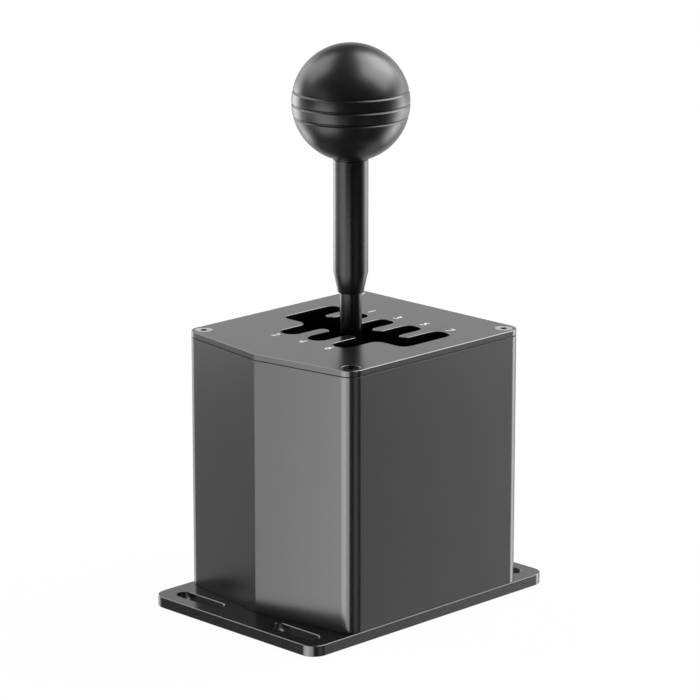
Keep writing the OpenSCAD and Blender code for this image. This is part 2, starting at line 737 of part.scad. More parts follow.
base_plate();
housing();
gate_plate();
gate_screws();
housing_screws();
front_bearing_block();
rear_bearing_block();
block_screws();
front_select_bush();
rear_select_bush();
detent_saddle();
saddle_screws();
left_spring_seat();
right_spring_seat();
left_centring_spring();
right_centring_spring();
main_board();
board_standoffs();
board_screws();
select_sensor();
data_socket();
select_cradle();
front_select_pin();
rear_select_pin();
left_shift_bush();
right_shift_bush();
select_magnet();
shift_board();
shift_sensor();
shift_board_screws();
lever_hub();
shift_axle();
shift_magnet();
lever_rod();
rod_set_screw();
lever_sleeve();
knob_insert();
knob();
plunger_spring();
detent_plunger();
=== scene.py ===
import json
import math

import bpy
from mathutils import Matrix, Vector


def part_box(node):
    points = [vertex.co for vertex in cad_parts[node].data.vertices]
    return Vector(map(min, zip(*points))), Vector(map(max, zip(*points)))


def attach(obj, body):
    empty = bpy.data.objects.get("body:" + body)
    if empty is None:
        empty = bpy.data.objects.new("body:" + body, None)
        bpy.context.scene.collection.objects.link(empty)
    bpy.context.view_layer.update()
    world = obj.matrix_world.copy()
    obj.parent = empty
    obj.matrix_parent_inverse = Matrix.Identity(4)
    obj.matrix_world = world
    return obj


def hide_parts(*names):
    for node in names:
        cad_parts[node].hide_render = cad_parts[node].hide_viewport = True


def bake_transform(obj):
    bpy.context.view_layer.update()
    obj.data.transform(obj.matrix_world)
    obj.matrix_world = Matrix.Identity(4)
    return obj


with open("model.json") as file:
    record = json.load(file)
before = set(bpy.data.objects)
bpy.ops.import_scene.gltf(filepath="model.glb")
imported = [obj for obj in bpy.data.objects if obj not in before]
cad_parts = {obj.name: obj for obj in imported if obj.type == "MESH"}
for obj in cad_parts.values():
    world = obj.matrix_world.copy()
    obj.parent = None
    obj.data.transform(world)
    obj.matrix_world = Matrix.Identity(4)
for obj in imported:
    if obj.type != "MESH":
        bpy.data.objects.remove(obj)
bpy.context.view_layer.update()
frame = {"nodes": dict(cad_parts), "record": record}
scene = bpy.context.scene
scene.view_settings.view_transform = "Standard"
mm = 0.001
hair = 1e-6  # two points closer than this are one
meshSet = {"flat": 0.4, "sharp": 40, "smooth": 32, "flatWeight": 90}  # degrees, and how much flat faces count
slotOf = {row["node"]: row["material_slot"] for row in frame["record"]["subparts"]}
bodyOf = {node: body for body, nodes in frame["record"]["behaviour"]["bodies"].items() for node in nodes}
print("frame loaded with", len(frame["nodes"]), "nodes")


# selection and edit mode

def deselectAll():
    bpy.ops.object.select_all(action="DESELECT")


def pick(piece):
    deselectAll()
    piece.select_set(True)
    bpy.context.view_layer.objects.active = piece


def startEdit(piece, kind="FACE"):
    pick(piece)
    bpy.ops.object.mode_set(mode="EDIT")
    bpy.ops.mesh.select_mode(type=kind)
    bpy.ops.mesh.select_all(action="DESELECT")


def endEdit():
    bpy.ops.object.mode_set(mode="OBJECT")


def selectFaces(piece, test):
    # faces are chosen by a test on their place, out of edit mode
    bpy.ops.mesh.select_all(action="DESELECT")
    endEdit()
    for face in piece.data.polygons:
        face.select = test(face)
    bpy.ops.object.mode_set(mode="EDIT")


def applyModifier(piece, kind, **settings):
    pick(piece)
    bpy.ops.object.modifier_add(type=kind)
    modifier = piece.modifiers[-1]
    for key, value in settings.items():
        setattr(modifier, key, value)
    bpy.ops.object.modifier_apply(modifier=modifier.name)


def applyPlace(piece):
    pick(piece)
    bpy.ops.object.transform_apply(location=True, rotation=True, scale=True)


def outward(piece):
    startEdit(piece)
    bpy.ops.mesh.select_all(action="SELECT")
    bpy.ops.mesh.remove_doubles(threshold=hair)
    bpy.ops.mesh.normals_make_consistent(inside=False)
    endEdit()


def shade(piece, angle=meshSet["smooth"]):
    # smooth up to this angle, with the large faces kept flat
    pick(piece)
    bpy.ops.object.shade_smooth_by_angle(angle=math.radians(angle))
    applyModifier(piece, "WEIGHTED_NORMAL", keep_sharp=True, weight=meshSet["flatWeight"])


def copyOfNode(node, name):
    # a merged copy of a CAD node, with its flat faces made whole
    piece = bpy.data.objects.new(name, frame["nodes"][node].data.copy())
    scene.collection.objects.link(piece)
    piece.data.materials.clear()
    pick(piece)
    bpy.ops.mesh.customdata_custom_splitnormals_clear()
    startEdit(piece)
    bpy.ops.mesh.select_all(action="SELECT")
    bpy.ops.mesh.remove_doubles(threshold=2 * hair)
    bpy.ops.mesh.dissolve_limited(angle_limit=math.radians(meshSet["flat"]))
    endEdit()
    return piece


def breakEdges(piece, width, test, segments=1, angle=meshSet["sharp"]):
    # chamfers or rounds the sharp edges whose two ends pass the test
    startEdit(piece, "EDGE")
    bpy.ops.mesh.edges_select_sharp(sharpness=math.radians(angle))
    endEdit()
    points = piece.data.vertices
    for edge in piece.data.edges:
        edge.select = edge.select and all(test(points[i].co) for i in edge.vertices)
    bpy.ops.object.mode_set(mode="EDIT")
    bpy.ops.mesh.bevel(offset=width, segments=segments, affect="EDGES", clamp_overlap=False)
    endEdit()


def mount(piece, finish, *nodes):
    # the piece stands for these nodes, rides on their body and takes the finish it is given
    piece.data.materials.clear()
    piece.data.materials.append(finish)
    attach(piece, bodyOf[nodes[0]])
    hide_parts(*nodes)


# shader maths

class Val:
    # a socket whose operators add Math nodes
    def __init__(self, finish, socket):
        self.finish = finish
        self.socket = socket

    def maths(self, operation, first, second):
        return self.finish.add("ShaderNodeMath", {"operation": operation}, {0: first, 1: second})

    def __add__(self, other):
        return self.maths("ADD", self, other)

    def __radd__(self, other):
        return self.maths("ADD", other, self)

    def __sub__(self, other):
        return self.maths("SUBTRACT", self, other)

    def __rsub__(self, other):
        return self.maths("SUBTRACT", other, self)

    def __mul__(self, other):
        return self.maths("MULTIPLY", self, other)


class Tree:
    # a node tree that is built by plain calls
    def __init__(self, tree):
        self.tree = tree
        self.tree.nodes.clear()

    def add(self, kind, settings=None, inputs=None, out=0):
        node = self.tree.nodes.new(kind)
        for key, value in (settings or {}).items():
            setattr(node, key, value)
        for key, value in (inputs or {}).items():
            if isinstance(value, Val):
                self.tree.links.new(value.socket, node.inputs[key])
            else:
                node.inputs[key].default_value = value
        return Val(self, node.outputs[out]) if node.outputs else None

    def place(self):
        return self.add("ShaderNodeTexCoord", out="Object")

    def height(self, where):
        return self.add("ShaderNodeSeparateXYZ", {}, {"Vector": where}, out="Z")

    def stretched(self, scale, turn=(0, 0, 0)):
        return self.add("ShaderNodeMapping", {}, {"Vector": self.place(), "Scale": scale, "Rotation": turn})

    def noise(self, scale, detail=2, rough=0.5, where=None):
        return self.add("ShaderNodeTexNoise", {}, {"Vector": where or self.place(), "Scale": scale,
                                                   "Detail": detail, "Roughness": rough})

    def blend(self, share, first, second):
        # a Mix node has its colours at sockets 6 and 7, and their mix at 2
        return self.add("ShaderNodeMix", {"data_type": "RGBA", "blend_type": "MIX"},
                        {0: share, 6: first, 7: second}, out=2)

    def between(self, value, low, high, toLow=0.0, toHigh=1.0):
        return self.add("ShaderNodeMapRange", {"interpolation_type": "SMOOTHSTEP"},
                        {"Value": value, "From Min": low, "From Max": high,
                         "To Min": toLow, "To Max": toHigh})

    def bump(self, height, depth):
        return self.add("ShaderNodeBump", {}, {"Height": height, "Distance": depth, "Strength": 1.0})


def grey(level, tint=(1.0, 1.0, 1.0)):
    return (level * tint[0], level * tint[1], level * tint[2], 1.0)


class Finish(Tree):
    def __init__(self, name):
        self.material = bpy.data.materials.new(name)
        self.material.use_nodes = True
        super().__init__(self.material.node_tree)

    def close(self, **sockets):
        # the sockets are named as on the shader, with _ for a space
        surface = self.add("ShaderNodeBsdfPrincipled", {},
                           {key.replace("_", " "): value for key, value in sockets.items()})
        self.add("ShaderNodeOutputMaterial", {}, {"Surface": surface})
        return self.material


# camera

cameraSet = {
    "place": (1.0660, -1.0665, 0.5071),
    "aim": (0.0, -0.0005, 0.1120),
    "lens": 183.17,
    "sensor": 36.0,
}

deselectAll()
bpy.ops.object.camera_add(location=cameraSet["place"])
camera = bpy.context.object
camera.data.lens = cameraSet["lens"]
camera.data.sensor_width = cameraSet["sensor"]
aimLine = Vector(cameraSet["aim"]) - Vector(cameraSet["place"])
camera.rotation_euler = aimLine.to_track_quat("-Z", "Y").to_euler()
scene.camera = camera
print("camera set at", round(aimLine.length, 3), "m")


# studio: directions are degrees from +X towards +Y, and above the floor

studioSet = {
    "centre": (0.0, 0.0, 0.10),
    "far": 3.0,
    "lever": (0.0, 0.0, 0.17),
    "leverFar": 0.60,
    "knob": (0.0, 0.0, 0.222),
    "knobFar": 0.50,
    "corner": (0.046, -0.045, 0.06),
    "cornerFar": 0.22,
    "ambient": 0.40,          # what matt surfaces get from all round
    "darkSide": 0.018,        # what glossy surfaces see of the dark side of the room
    "ceiling": 0.08,          # of the ceiling
    "backdrop": 0.79,         # and of the white backdrop
    "backdropFrom": 130,
    "backdropSides": (0.5, 0.82),   # where it fades in, as a cosine from its middle
    "backdropTop": (0.28, 0.52),    # where it fades out, as a sine above the floor
    "ceilingEdge": (0.45, 0.8),
    "wattsPerArea": 4.0,      # makes a lamp of level 1 as bright as white
    "floorSize": 12.0,
    "floorDrop": 0.2 * mm,
    "floorGrey": 0.85,
    "floorWhite": 0.97,       # share of plain white in the floor as the camera sees it
}
softboxes = {  # each spans these directions as seen from the middle of the object
    "frontBox": {"across": (-121, -78), "up": (-48, 4), "level": 1.2},
    "lowRightBox": {"across": (56, 84), "up": (-48, 6), "level": 2.0},
    "midRightBox": {"across": (56, 100), "up": (2, 24), "level": 1.0},
    "highRightBox": {"across": (16, 102), "up": (25, 77), "level": 2.25},
    "highRightCore": {"across": (58, 102), "up": (28, 60), "level": 1.35},
    "lowLeftBox": {"across": (174, 196), "up": (-40, 10), "level": 1.2},
    "midLeftBox": {"across": (160, 194), "up": (8, 26), "level": 1.0},
    "highLeftBox": {"across": (170, 224), "up": (26, 62), "level": 1.5},
    "rightFill": {"across": (41, 57), "up": (-38, 8), "level": 0.195},
    "leftFill": {"across": (-172, -142), "up": (-42, 4), "level": 0.155},
}
leverLamps = {  # close by, at heights that the lever mirrors to the camera
    "leverRim": {"across": (164, 194), "up": (-17, 7), "level": 2.7, "grid": 70},
    "leverLeft1": {"across": (-166, -151), "up": (-16, -6), "level": 1.1, "grid": 36},
    "leverLeft2": {"across": (-151, -136), "up": (-16, -6), "level": 1.0, "grid": 36},
    "leverLeft3": {"across": (-136, -121), "up": (-16, -6), "level": 1.3, "grid": 36},
    "leverSide": {"across": (38, 72), "up": (-15, -4), "level": 0.6, "grid": 70},
    "leverRight": {"across": (72, 106), "up": (-15, -4), "level": 1.0, "grid": 70},
    "leverFront": {"across": (-150, -95), "up": (12, 32), "level": 0.25},
}
knobLamps = {  # for the knob alone: their beams rise over the housing
    "knobRightLow": {"across": (56, 86), "up": (-39, -23), "level": 2.3, "grid": 26},
    "knobRightHigh": {"across": (58, 90), "up": (-17, -3), "level": 0.55, "grid": 70},
    "knobLeftLow": {"across": (160, 190), "up": (-39, -23), "level": 2.3, "grid": 26},
    "knobFrontLow": {"across": (-150, -118), "up": (-39, -23), "level": 0.25, "grid": 26},
}
cornerLamps = {  # low strips close to the front corner, with grids that keep them off the knob
    "cornerStrip1": {"across": (-111, -99), "up": (-37, 11), "level": 0.8, "grid": 34},
    "cornerStrip2": {"across": (-99, -83), "up": (-37, 11), "level": 1.0, "grid": 34},
    "cornerStrip3": {"across": (-83, -67), "up": (-37, 11), "level": 2.2, "grid": 34},
    "cornerStrip4": {"across": (-67, -51), "up": (-37, 11), "level": 2.2, "grid": 34},
    "cornerGlow": {"across": (-17, 13), "up": (-37, 11), "level": 0.22, "grid": 90},
}


def direction(azimuth, elevation):
    a, e = math.radians(azimuth), math.radians(elevation)
    return Vector((math.cos(a) * math.cos(e), math.sin(a) * math.cos(e), math.sin(e)))


def spanned(limits, far):
    # the length that spans these two directions at this distance
    return 2 * far * math.tan(math.radians(limits[1] - limits[0]) / 2)


def makeLamp(name, look, centre, far):
    azimuth, elevation = sum(look["across"]) / 2, sum(look["up"]) / 2
    wide = spanned(look["across"], far) * math.cos(math.radians(elevation))
    tall = spanned(look["up"], far)
    away = direction(azimuth, elevation)
    deselectAll()
    bpy.ops.object.light_add(type="AREA", location=Vector(centre) + away * far)
    lamp = bpy.context.object
    lamp.name = name
    lamp.rotation_euler = (-away).to_track_quat("-Z", "Y").to_euler()
    lamp.data.shape = "RECTANGLE"
    lamp.data.size = wide
    lamp.data.size_y = tall
    lamp.data.energy = studioSet["wattsPerArea"] * look["level"] * wide * tall
    if "grid" in look:  # a honeycomb narrows the beam and leaves its middle as bright as it was
        half = math.radians(look["grid"]) / 2
        lamp.data.spread = 2 * half
        lamp.data.energy *= 1 - half / math.tan(half)
    lamp.visible_camera = False


def seenRays(tree):
    # two masks: 1 for the rays of the camera, and 1 for those of gloss or glass
    eye = tree.add("ShaderNodeLightPath", out="Is Camera Ray")
    gloss = tree.add("ShaderNodeLightPath", out="Is Glossy Ray")
    glass = tree.add("ShaderNodeLightPath", out="Is Transmission Ray")
    return eye, gloss.maths("MAXIMUM", gloss, glass)


def makeWorld():
    world = bpy.data.worlds.new("studio")
    world.use_nodes = True
    scene.world = world
    tree = Tree(world.node_tree)
    eye, gloss = seenRays(tree)
    way = tree.add("ShaderNodeTexCoord", out="Generated")
    height = tree.height(way)
    facing = tree.add("ShaderNodeVectorMath", {"operation": "DOT_PRODUCT"},
                      {0: way, 1: direction(studioSet["backdropFrom"], 0)}, out="Value")
    sides = tree.between(facing, *studioSet["backdropSides"])
    backdrop = sides * tree.between(height, *studioSet["backdropTop"], toLow=1.0, toHigh=0.0)
    dark = studioSet["darkSide"]
    ceiling = tree.between(height, *studioSet["ceilingEdge"]) * (studioSet["ceiling"] - dark)
    level = dark + ceiling + backdrop * (studioSet["backdrop"] - dark)
    level = eye + (1 - eye) * (gloss * level + (1 - gloss) * studioSet["ambient"])
    light = tree.add("ShaderNodeBackground", {}, {"Color": grey(1.0), "Strength": level})
    tree.add("ShaderNodeOutputWorld", {}, {"Surface": light})


def makeFloor():
    deselectAll()
    bpy.ops.mesh.primitive_plane_add(size=studioSet["floorSize"], location=(0, 0, -studioSet["floorDrop"]))
    floor = bpy.context.object
    floor.name = "floor"
    paper = Finish("paleFloor")
    eye, gloss = seenRays(paper)
    matt = paper.add("ShaderNodeBsdfDiffuse", {}, {"Color": grey(studioSet["floorGrey"])})
    white = paper.add("ShaderNodeEmission", {}, {"Color": grey(1.0), "Strength": 1.0})
    share = eye.maths("MAXIMUM", eye, gloss) * studioSet["floorWhite"]
    pale = paper.add("ShaderNodeMixShader", {}, {0: share, 1: matt, 2: white})
    below = paper.add("ShaderNodeNewGeometry", out="Backfacing")  # open from below, to show the underside
    clear = paper.add("ShaderNodeBsdfTransparent")
    surface = paper.add("ShaderNodeMixShader", {}, {0: below, 1: pale, 2: clear})
    paper.add("ShaderNodeOutputMaterial", {}, {"Surface": surface})
    floor.data.materials.append(paper.material)
    floor.visible_glossy = False
    floor.visible_shadow = False


for group, centre, far in ((softboxes, studioSet["centre"], studioSet["far"]),
                           (leverLamps, studioSet["lever"], studioSet["leverFar"]),
                           (knobLamps, studioSet["knob"], studioSet["knobFar"]),
                           (cornerLamps, studioSet["corner"], studioSet["cornerFar"])):
    for lampName, lampLook in group.items():
        makeLamp(lampName, lampLook, centre, far)
makeWorld()
makeFloor()
print("studio lit with", len(softboxes) + len(leverLamps) + len(knobLamps) + len(cornerLamps), "lamps")


# finishes

anodisedLook = {"colour": 0.005, "rough": 0.24, "ior": 2.33, "grain": 3800, "grainDepth": 2.5e-6, "cloud": 55,
                "cloudTone": 0.12, "tint": (0.98, 1.0, 1.04), "cloudRough": 0.03, "grainRough": 0.05}
knobLook = {**anodisedLook, "colour": 0.002, "rough": 0.33, "ior": 1.9, "grain": 2600, "grainDepth": 6e-6,
            "cloud": 90}
turnedLook = {"colour": 0.003, "rough": 0.28, "ior": 1.69, "lines": 5200, "lineDepth": 5e-7,
              "lineStretch": (0.02, 0.02, 1.0), "cloud": 120, "cloudTone": 0.2, "lineRough": 0.03,
              "cloudRough": 0.02}
metalLook = {"cloud": 60, "darkest": 0.86, "markRough": 0.14, "cloudRough": 0.06}
# black is painted shade, for the sockets and the rims of the gate screw heads
screwLook = {"colour": 0.56, "darkest": 0.9, "black": 0.004, "rough": 0.13, "markRough": 0.06, "marks": 2600,
             "markDepth": 3e-7, "faceFrom": 0.05 * mm, "faceTo": 0.02 * mm}
boardLook = {"traces": 220.0, "traceWide": 0.018, "traceShare": 0.7, "traceDepth": 2e-5, "cloud": 140,
             "dark": (0.010, 0.075, 0.036, 1), "light": (0.014, 0.095, 0.045, 1),
             "copper": (0.045, 0.20, 0.095, 1), "rough": 0.32, "cloudRough": 0.1}
chipLook = {"dark": 0.012, "light": 0.020, "grain": 5200, "grainDepth": 6e-6, "rough": 0.5,
            "grainRough": 0.15}
printLook = {"dark": 0.80, "light": 0.90, "grain": 4200, "grainDepth": 3e-6, "rough": 0.5,
             "grainRough": 0.2}


def darkAnodised(name, look):
    f = Finish(name)
    grain = f.noise(look["grain"], detail=3, rough=0.6)
    cloud = f.noise(look["cloud"], detail=4)
    colour = f.blend(cloud, grey(look["colour"] * (1 - look["cloudTone"])),
                     grey(look["colour"] * (1 + look["cloudTone"]), look["tint"]))
    rough = look["rough"] + (cloud - 0.5) * look["cloudRough"] + (grain - 0.5) * look["grainRough"]
    return f.close(Base_Color=colour, Roughness=rough, IOR=look["ior"],
                   Normal=f.bump(grain, look["grainDepth"]))


def turnedBlack(name, look):
    # fine rings round the lever's axis, left by the lathe under the black
    f = Finish(name)
    rings = f.noise(look["lines"], detail=1, where=f.stretched(look["lineStretch"]))
    cloud = f.noise(look["cloud"], detail=3)
    colour = f.blend(cloud, grey(look["colour"] * (1 - look["cloudTone"])),
                     grey(look["colour"] * (1 + look["cloudTone"])))
    rough = look["rough"] + (rings - 0.5) * look["lineRough"] + (cloud - 0.5) * look["cloudRough"]
    return f.close(Base_Color=colour, Roughness=rough, IOR=look["ior"],
                   Normal=f.bump(rings, look["lineDepth"]))


def bareMetal(name, colour, rough, lines, stretch, depth=3e-6):
    # tool marks run along the stretched directions
    f = Finish(name)
    marks = f.noise(lines, detail=2, where=f.stretched(stretch))
    cloud = f.noise(metalLook["cloud"], detail=4)
    tone = f.blend(cloud, tuple(c * metalLook["darkest"] for c in colour) + (1.0,), colour + (1.0,))
    spread = rough + (marks - 0.5) * metalLook["markRough"] + (cloud - 0.5) * metalLook["cloudRough"]
    return f.close(Base_Color=tone, Metallic=1.0, Roughness=spread, Normal=f.bump(marks, depth))


def sunkScrew(name, look, top):
    # bright turned heads, with painted shade in the sockets and round the rims
    f = Finish(name)
    face = f.between(f.height(f.place()), top - look["faceFrom"], top - look["faceTo"])
    marks = f.noise(look["marks"], detail=2)
    bright = f.blend(marks, grey(look["colour"] * look["darkest"]), grey(look["colour"]))
    # below the top face, in the socket and round the rim, the colour is painted shade
    tone = f.blend(face, grey(look["black"]), bright)
    return f.close(Base_Color=tone, Metallic=1.0, Roughness=look["rough"] + (marks - 0.5) * look["markRough"],
                   Normal=f.bump(marks, look["markDepth"]))


def boardResist(name, look):
    # copper traces show as lighter green lines under the resist
    f = Finish(name)
    upright = f.stretched((1, 1, 1), (math.pi / 2, 0, 0))
    grid = f.add("ShaderNodeTexBrick", {"offset": 0.5, "squash": 1.0},
                 {"Vector": upright, "Scale": look["traces"], "Mortar Size": look["traceWide"],
                  "Color1": grey(0.0), "Color2": grey(0.0), "Mortar": grey(1.0)})
    traces = f.add("ShaderNodeSeparateColor", {}, {"Color": grid})
    cloud = f.noise(look["cloud"], detail=2)
    colour = f.blend(traces * look["traceShare"], f.blend(cloud, look["dark"], look["light"]), look["copper"])
    return f.close(Base_Color=colour, Roughness=look["rough"] + cloud * look["cloudRough"],
                   Normal=f.bump(traces, look["traceDepth"]))


def speckled(name, look):
    # moulded plastic and printed ink: a fine grain between two greys
    f = Finish(name)
    grain = f.noise(look["grain"], detail=2)
    colour = f.blend(grain, grey(look["dark"]), grey(look["light"]))
    return f.close(Base_Color=colour, Roughness=look["rough"] + (grain - 0.5) * look["grainRough"],
                   Normal=f.bump(grain, look["grainDepth"]))


finishes = {
    "dark_anodised": darkAnodised("darkAnodised", anodisedLook),
    "screw_steel": sunkScrew("gateScrewSteel", screwLook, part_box("gate_screws")[1].z),
    "screw_black": bareMetal("screwBlack", (0.10, 0.10, 0.11), 0.28, 3000, (1.0, 1.0, 0.2), 1e-6),
    "rod_black": turnedBlack("rodBlack", {**turnedLook, "rough": 0.24, "ior": 1.62}),
    "sleeve_black": turnedBlack("sleeveBlack", turnedLook),
    "knob_black": darkAnodised("knobBlack", knobLook),
    "machined_aluminium": bareMetal("machinedAluminium", (0.60, 0.61, 0.62), 0.34, 1800, (0.06, 1.0, 1.0)),
    "steel": bareMetal("groundSteel", (0.55, 0.56, 0.57), 0.24, 2600, (0.05, 0.05, 1.0)),
    "spring_steel": bareMetal("springSteel", (0.50, 0.51, 0.52), 0.28, 2200, (1.0, 1.0, 0.1)),
    "bronze": bareMetal("sinteredBronze", (0.58, 0.40, 0.20), 0.42, 1500, (1.0, 1.0, 1.0), 1e-5),
    "board_green": boardResist("boardGreen", boardLook),
    "chip_black": speckled("chipBlack", chipLook),
    "nickel": bareMetal("nickelPlate", (0.62, 0.61, 0.58), 0.20, 1200, (1.0, 1.0, 0.2)),
}
extraFinishes = {  # for a piece or a part of one that differs from its slot
    "housing": darkAnodised("housingAnodised", {**anodisedLook, "rough": 0.25}),
    # the lane walls: rougher, and darker and less reflecting than the plate as painted shade
    "lanes": darkAnodised("laneWallsPaintedShade", {**anodisedLook, "colour": 0.002, "rough": 0.5, "ior": 1.2}),
    "numbers": speckled("printedWhite", printLook),
}
for node, part in frame["nodes"].items():
    part.data.materials.clear()
    part.data.materials.append(finishes[slotOf[node]])
print("finishes made:", len(finishes) + len(extraFinishes))


# casing: copies of the plates and the housing, with chamfers where the real edges are broken

casingSet = {
    "base_plate": {"chamfer": 0.20 * mm, "under": 0.20 * mm, "square": 60, "smooth": 16},
    "housing": {"chamfer": 0.03 * mm, "foot": 0.28 * mm, "wall": 2 * mm, "prow": 10 * mm, "square": 60,
                "smooth": 14.5},
    "gate_plate": {"edge": 0.22 * mm, "laneEdge": 0.14 * mm, "lanes": 40 * mm, "smooth": 14.5,
                   "seam": 0.42 * mm, "seamDeep": 0.90 * mm, "ledge": 0.01 * mm, "rim": 8 * mm,
                   "prow": 16 * mm, "upright": 0.1, "screwRoom": 0.6 * mm},
    "gate_screws": {"head": 4 * mm, "rim": 0.22 * mm, "rimWide": 1 * mm, "socket": 0.06 * mm,
                    "socketIn": 2 * mm},
}


def offScrews(place, room):
    # whether a place is clear of the heads of the gate screws
    low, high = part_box("gate_screws")
    inset = casingSet["gate_screws"]["head"]
    return all(math.hypot(place.x - x, place.y - y) > inset + room
               for x in (low.x + inset, high.x - inset) for y in (low.y + inset, high.y - inset))


def makeBasePlate():
    look = casingSet["base_plate"]
    low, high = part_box("base_plate")
    plate = copyOfNode("base_plate", "shown_base_plate")
    breakEdges(plate, look["chamfer"], lambda place: place.z > high.z - hair)
    breakEdges(plate, look["under"], lambda place: place.z < low.z + hair, angle=look["square"])
    shade(plate, look["smooth"])
    mount(plate, finishes["dark_anodised"], "base_plate")


def makeHousing():
    look = casingSet["housing"]
    low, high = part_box("housing")

    def onOutside(place):
        # on the outer outline, also where the front slopes back to the corners
        beside = abs(place.x) > high.x - look["wall"]
        return beside or place.y > high.y - look["wall"] or place.y < low.y + look["prow"]

    shell = copyOfNode("housing", "shown_housing")
    breakEdges(shell, look["chamfer"], lambda place: place.z > high.z - hair, angle=look["square"])
    breakEdges(shell, look["foot"], lambda place: place.z < low.z + hair and onOutside(place),
               angle=look["square"])
    shade(shell, look["smooth"])
    mount(shell, extraFinishes["housing"], "housing")


def makeGatePlate():
    look = casingSet["gate_plate"]
    low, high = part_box("gate_plate")

    def inLanes(place):
        return max(abs(place.x), abs(place.y)) < look["lanes"]

    def onRim(face):
        x, y, z = face.center
        outer = abs(x) > high.x - look["rim"] or y > high.y - look["rim"] or y < low.y + look["prow"]
        upright = abs(face.normal.z) < look["upright"]
        return outer and upright and z < low.z + look["seam"] and offScrews(face.center, look["screwRoom"])

    plate = copyOfNode("gate_plate", "shown_gate_plate")
    breakEdges(plate, look["laneEdge"], lambda place: place.z > high.z - hair and inLanes(place))
    breakEdges(plate, look["edge"], lambda place: place.z > high.z - hair and not inLanes(place)
               and offScrews(place, look["screwRoom"]))
    startEdit(plate)
    for rise in (look["seam"], look["seam"] + look["ledge"]):
        bpy.ops.mesh.select_all(action="SELECT")
        bpy.ops.mesh.bisect(plane_co=(0, 0, low.z + rise), plane_no=(0, 0, 1), threshold=hair)
    selectFaces(plate, onRim)  # the lower rim is set back, so that a dark seam shows above the housing
    shrink = [1 - 2 * look["seamDeep"] / side for side in (high - low).xy]
    bpy.ops.transform.resize(value=(shrink[0], shrink[1], 1), center_override=(low + high) / 2)
    endEdit()
    shade(plate, look["smooth"])
    mount(plate, finishes["dark_anodised"], "gate_plate")
    plate.data.materials.append(extraFinishes["lanes"])  # duller walls in the lanes, also darker and less reflecting as painted shade
    for face in plate.data.polygons:
        face.material_index = int(inLanes(face.center) and face.center.z < high.z - look["laneEdge"])


def makeGateScrews():
    look = casingSet["gate_screws"]
    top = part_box("gate_screws")[1].z
    heads = copyOfNode("gate_screws", "shown_gate_screws")
    breakEdges(heads, look["rim"], lambda place: place.z > top - hair and offScrews(place, -look["rimWide"]),
               segments=2)
    breakEdges(heads, look["socket"],
               lambda place: place.z > top - hair and not offScrews(place, -look["socketIn"]))
    shade(heads)
    mount(heads, finishes["screw_steel"], "gate_screws")


makeBasePlate()
makeHousing()
makeGatePlate()
makeGateScrews()
print("casing made")


# screws and the socket keep their shape and lose their sharp edges

smallSet = {
    "housing_screws": 0.12 * mm,
    "block_screws": 0.12 * mm,
    "saddle_screws": 0.1 * mm,
    "data_socket": 0.05 * mm,
}


def makeSmall(node, edge):
    piece = copyOfNode(node, "shown_" + node)
    applyModifier(piece, "BEVEL", width=edge, segments=2, limit_method="ANGLE",
                  angle_limit=math.radians(meshSet["sharp"]), use_clamp_overlap=True)
    shade(piece)
    mount(piece, finishes[slotOf[node]], node)


for node, edge in smallSet.items():
    makeSmall(node, edge)
print("small pieces softened:", len(smallSet))


# knob: turned from one outline, with three soft grooves, a flat seat and a short neck round its insert

knobSet = {
    "sides": 160,
    "arcSteps": 72,
    "grooves": (-6.00 * mm, -0.40 * mm, 5.20 * mm),  # heights from the middle of the ball
    "grooveFlat": 0.08 * mm,
    "grooveReach": 0.70 * mm,
    "grooveRoom": 1.2,  # reaches that are kept clear of the ball's own points
    "grooveSteps": 14,
    "deep": 0.55 * mm,
    "seatEdge": 0.25 * mm,
    "seatRise": 0.25 / 3 * mm,
    "neck": 7.25 * mm,
    "neckGap": 0.02 * mm,
    "bore": 7.02 * mm,
    "boreDeep": 20.0 * mm,
}


def turned(name, outline, sides):
    # a chain of points (radius, height) is drawn by extruding one point, then spun round the lever's axis
    deselectAll()
    bpy.ops.mesh.primitive_plane_add(size=1 * mm, location=(outline[0][0], 0, outline[0][1]))
    piece = bpy.context.object
    piece.name = name
    applyPlace(piece)
    startEdit(piece, "VERT")
    bpy.ops.mesh.select_all(action="SELECT")
    bpy.ops.mesh.merge(type="CENTER")
    for (oldRadius, oldHeight), (radius, height) in zip(outline, outline[1:]):
        bpy.ops.mesh.extrude_region()
        bpy.ops.transform.translate(value=(radius - oldRadius, 0, height - oldHeight))
    bpy.ops.mesh.select_all(action="SELECT")
    bpy.ops.mesh.spin(steps=sides, angle=2 * math.pi, center=(0, 0, 0), axis=(0, 0, 1))
    endEdit()
    outward(piece)
    return piece


def makeKnob():
    low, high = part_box("knob")
    radius = (high.x - low.x) / 2
    middle = high.z - radius
    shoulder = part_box("knob_insert")[0].z + knobSet["neckGap"]
    seat = math.sqrt(radius ** 2 - (middle - low.z) ** 2)
    reach, flat, steps = knobSet["grooveReach"], knobSet["grooveFlat"], knobSet["grooveSteps"]
    lastAngle = math.acos((low.z - middle) / radius)
    rises = [radius * math.cos(lastAngle * i / knobSet["arcSteps"]) for i in range(knobSet["arcSteps"])]
    for groove in knobSet["grooves"]:
        rises = [rise for rise in rises if abs(rise - groove) > knobSet["grooveRoom"] * reach]
        rises += [groove + reach * (2 * i / steps - 1) for i in range(steps + 1)]

    def sunk(rise):
        near = min(abs(rise - groove) for groove in knobSet["grooves"])
        share = min(max((reach - near) / (reach - flat), 0), 1)
        return knobSet["deep"] * share

    outline = [(math.sqrt(max(radius ** 2 - rise ** 2, 0)) - sunk(rise), middle + rise)
               for rise in sorted(rises, reverse=True)]
    outline += [(seat, low.z + knobSet["seatRise"]), (seat - knobSet["seatEdge"], low.z),
                (knobSet["neck"], low.z), (knobSet["neck"], shoulder), (knobSet["bore"], shoulder),
                (knobSet["bore"], shoulder + knobSet["boreDeep"]), (0, shoulder + knobSet["boreDeep"])]
    knob = turned("ball_knob", outline, knobSet["sides"])
    shade(knob)
    mount(knob, finishes["knob_black"], "knob")


makeKnob()
print("knob made")


# lever: the rod and the sleeve that screws into the knob

